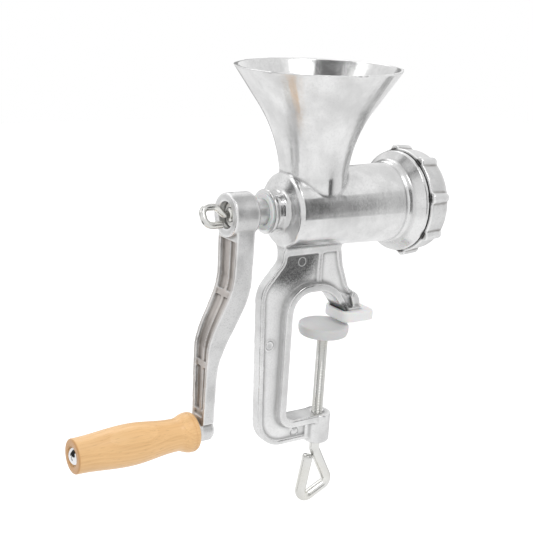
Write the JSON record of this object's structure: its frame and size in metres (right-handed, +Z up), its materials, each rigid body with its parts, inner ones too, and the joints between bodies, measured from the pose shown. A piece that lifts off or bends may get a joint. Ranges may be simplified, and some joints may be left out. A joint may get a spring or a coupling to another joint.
{
  "type": "hand crank meat grinder",
  "caption": "Table-clamped hand crank meat grinder: flared hopper over a feed screw, knife and hole plate behind a ring nut, cast C-frame with clamp screw, crank with wooden handle.",
  "frame": {"origin": "centre of the fixed jaw pad's underside, the face that rests on the table top", "axes": "+X along the feed screw towards the ring nut, +Z up, +Y completes the right-handed frame"},
  "size_m": [0.2708, 0.1132, 0.3222],
  "materials": {
    "polished_aluminium": "polished cast",
    "cast_aluminium": "tumbled sand-cast",
    "zinc_steel": "zinc plated",
    "tool_steel": "ground",
    "bolt_chrome": "polished",
    "beech": "clear lacquer",
    "white_plastic": "satin, slightly translucent"
  },
  "bodies": {
    "housing": {"body_casting": "polished_aluminium", "shaft_bush": "white_plastic", "thrust_washer": "white_plastic", "plate_key": "tool_steel", "jaw_pad": "white_plastic"},
    "drive": {"auger": "cast_aluminium", "drive_pin": "tool_steel", "knife": "tool_steel", "crank_arm": "cast_aluminium", "handle_bolt": "bolt_chrome", "handle_washer": "zinc_steel"},
    "handle": {"handle_grip": "beech"},
    "thumb_washer": {"thumb_washer": "zinc_steel"},
    "thumb_screw": {"thumb_screw": "zinc_steel"},
    "plate": {"hole_plate": "tool_steel"},
    "nut": {"ring_nut": "cast_aluminium"},
    "foot": {"foot_pad": "white_plastic", "foot_plate": "zinc_steel"},
    "screw": {"clamp_screw": "zinc_steel"}
  },
  "joints": [
    {"name": "crank_spin", "type": "hinge", "parent": "housing", "child": "drive", "pos_m": [-0.0655, 0, 0.0836], "axis": [1, 0, 0], "continuous": true},
    {"name": "handle_spin", "type": "hinge", "parent": "drive", "child": "handle", "pos_m": [-0.1705, 0, -0.0652], "axis": [1, 0, 0], "continuous": true},
    {"name": "thumb_washer_slide", "type": "slide", "parent": "drive", "child": "thumb_washer", "axis": [-1, 0, 0], "range_m": [0, 0.01202]},
    {"name": "thumb_screw_turn", "type": "hinge", "parent": "thumb_washer", "child": "thumb_screw", "pos_m": [-0.1055, 0, 0.0836], "axis": [-1, 0, 0], "range_deg": [0, 5400]},
    {"name": "plate_slide", "type": "slide", "parent": "housing", "child": "plate", "axis": [1, 0, 0], "range_m": [0, 0.00902]},
    {"name": "nut_turn", "type": "hinge", "parent": "plate", "child": "nut", "pos_m": [0.0445, 0, 0.0836], "axis": [1, 0, 0], "range_deg": [0, 1080]},
    {"name": "foot_slide", "type": "slide", "parent": "housing", "child": "foot", "axis": [0, 0, 1], "range_m": [-0.0547, 0.0018]},
    {"name": "clamp_turn", "type": "hinge", "parent": "foot", "child": "screw", "pos_m": [-0.0213, 0, -0.0664], "axis": [0, 0, 1], "range_deg": [-15754, 519]}
  ],
  "couplings": [
    {"joint": "thumb_washer_slide", "follows": "thumb_screw_turn", "m_per_rad": 0.00012732},
    {"joint": "plate_slide", "follows": "nut_turn", "m_per_rad": 0.00047746},
    {"joint": "clamp_turn", "follows": "foot_slide", "rad_per_m": 5026.5}
  ]
}
